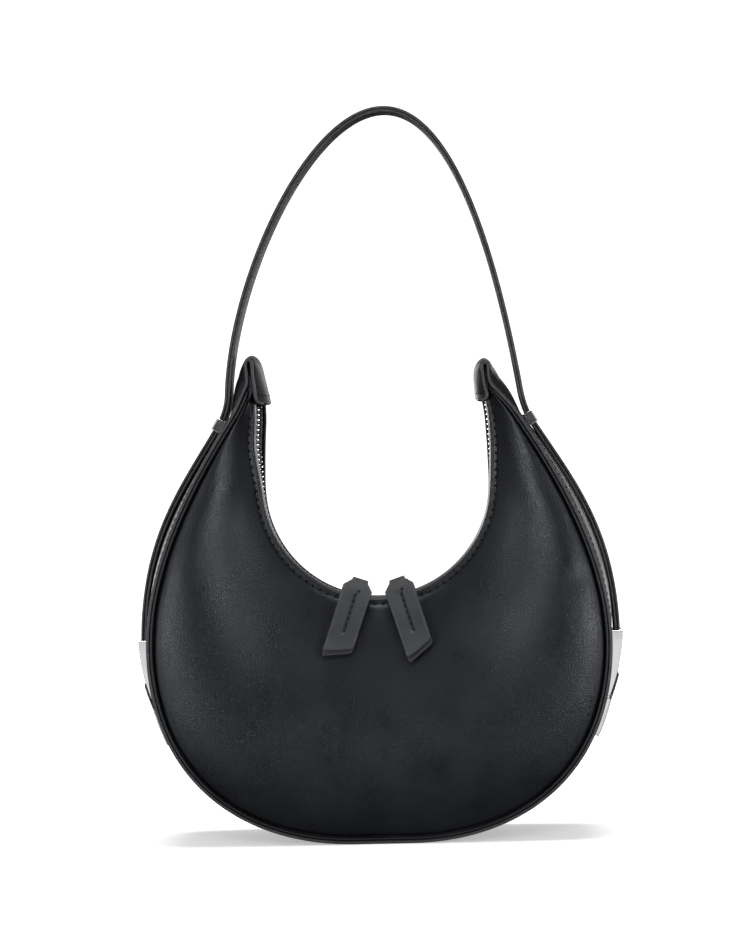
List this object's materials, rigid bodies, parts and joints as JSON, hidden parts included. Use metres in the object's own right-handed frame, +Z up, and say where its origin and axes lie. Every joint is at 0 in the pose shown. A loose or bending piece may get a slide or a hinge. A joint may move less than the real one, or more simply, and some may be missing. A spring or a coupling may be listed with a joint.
{
  "type": "crescent shoulder bag",
  "caption": "Crescent leather shoulder bag with a curved zip, folded leather zip pulls, and an arched strap held by metal keepers and side sleeves.",
  "frame": {"origin": "on the floor under the middle of the bag, halfway between its front and back", "axes": "+Z up towards the strap's arch, the front panel with the zip pulls faces -Y, +X to the viewer's right"},
  "size_m": [0.2476, 0.0658, 0.3729],
  "materials": {
    "leather": "smooth, soft sheen",
    "band_leather": "smooth, soft sheen",
    "edge_leather": "painted edge",
    "pull_leather": "smooth, matte",
    "lining": "woven",
    "board": "plain",
    "tape": "woven",
    "polished_steel": "polished",
    "foam": "plain"
  },
  "bodies": {
    "bag": {"anchor_backing_left": "polished_steel", "anchor_backing_right": "polished_steel", "anchor_plate_left": "polished_steel", "anchor_plate_right": "polished_steel", "back_edge_welt": "edge_leather", "back_panel": "leather", "base_board": "board", "front_edge_welt": "edge_leather", "front_panel": "leather", "gusset_band": "band_leather", "horn_filler_left": "foam", "horn_filler_right": "foam", "inner_pocket": "lining", "keeper_backing_left": "polished_steel", "keeper_backing_right": "polished_steel", "keeper_left": "polished_steel", "keeper_right": "polished_steel", "lining_back": "lining", "lining_front": "lining", "lining_gusset": "lining", "strap_sleeve_left": "polished_steel", "strap_sleeve_right": "polished_steel", "strap_tail_left_inner": "leather", "strap_tail_left_outer": "leather", "strap_tail_right_inner": "leather", "strap_tail_right_outer": "leather", "zip_chain_back": "polished_steel", "zip_chain_front": "polished_steel", "zip_stop_left": "polished_steel", "zip_stop_right": "polished_steel", "zip_tape_back": "tape", "zip_tape_front": "tape"},
    "strap": {"strap_outer_layer": "leather", "strap_inner_layer": "leather"},
    "slider_left": {"zip_slider_left": "polished_steel", "slider_crown_left": "polished_steel"},
    "pull_left": {"pull_ring_left": "polished_steel", "pull_left": "pull_leather"},
    "slider_right": {"zip_slider_right": "polished_steel", "slider_crown_right": "polished_steel"},
    "pull_right": {"pull_ring_right": "polished_steel", "pull_right": "pull_leather"}
  },
  "joints": [
    {"name": "zip_left", "type": "hinge", "parent": "bag", "child": "slider_left", "pos_m": [0, 0, 0.1805], "axis": [0, 1, 0], "range_deg": [0, 65]},
    {"name": "pull_lift_left", "type": "hinge", "parent": "slider_left", "child": "pull_left", "pos_m": [-0.01087, 0, 0.12709], "axis": [-0.9483, 0, 0.3173], "range_deg": [0, 45]},
    {"name": "zip_right", "type": "hinge", "parent": "bag", "child": "slider_right", "pos_m": [0, 0, 0.1805], "axis": [0, -1, 0], "range_deg": [0, 65]},
    {"name": "pull_lift_right", "type": "hinge", "parent": "slider_right", "child": "pull_right", "pos_m": [0.01087, 0, 0.12709], "axis": [-0.9483, 0, -0.3173], "range_deg": [0, 45]},
    {"name": "strap_swing", "type": "hinge", "parent": "bag", "child": "strap", "pos_m": [0, 0, 0.22773], "axis": [1, 0, 0], "range_deg": [-50, 50]}
  ]
}
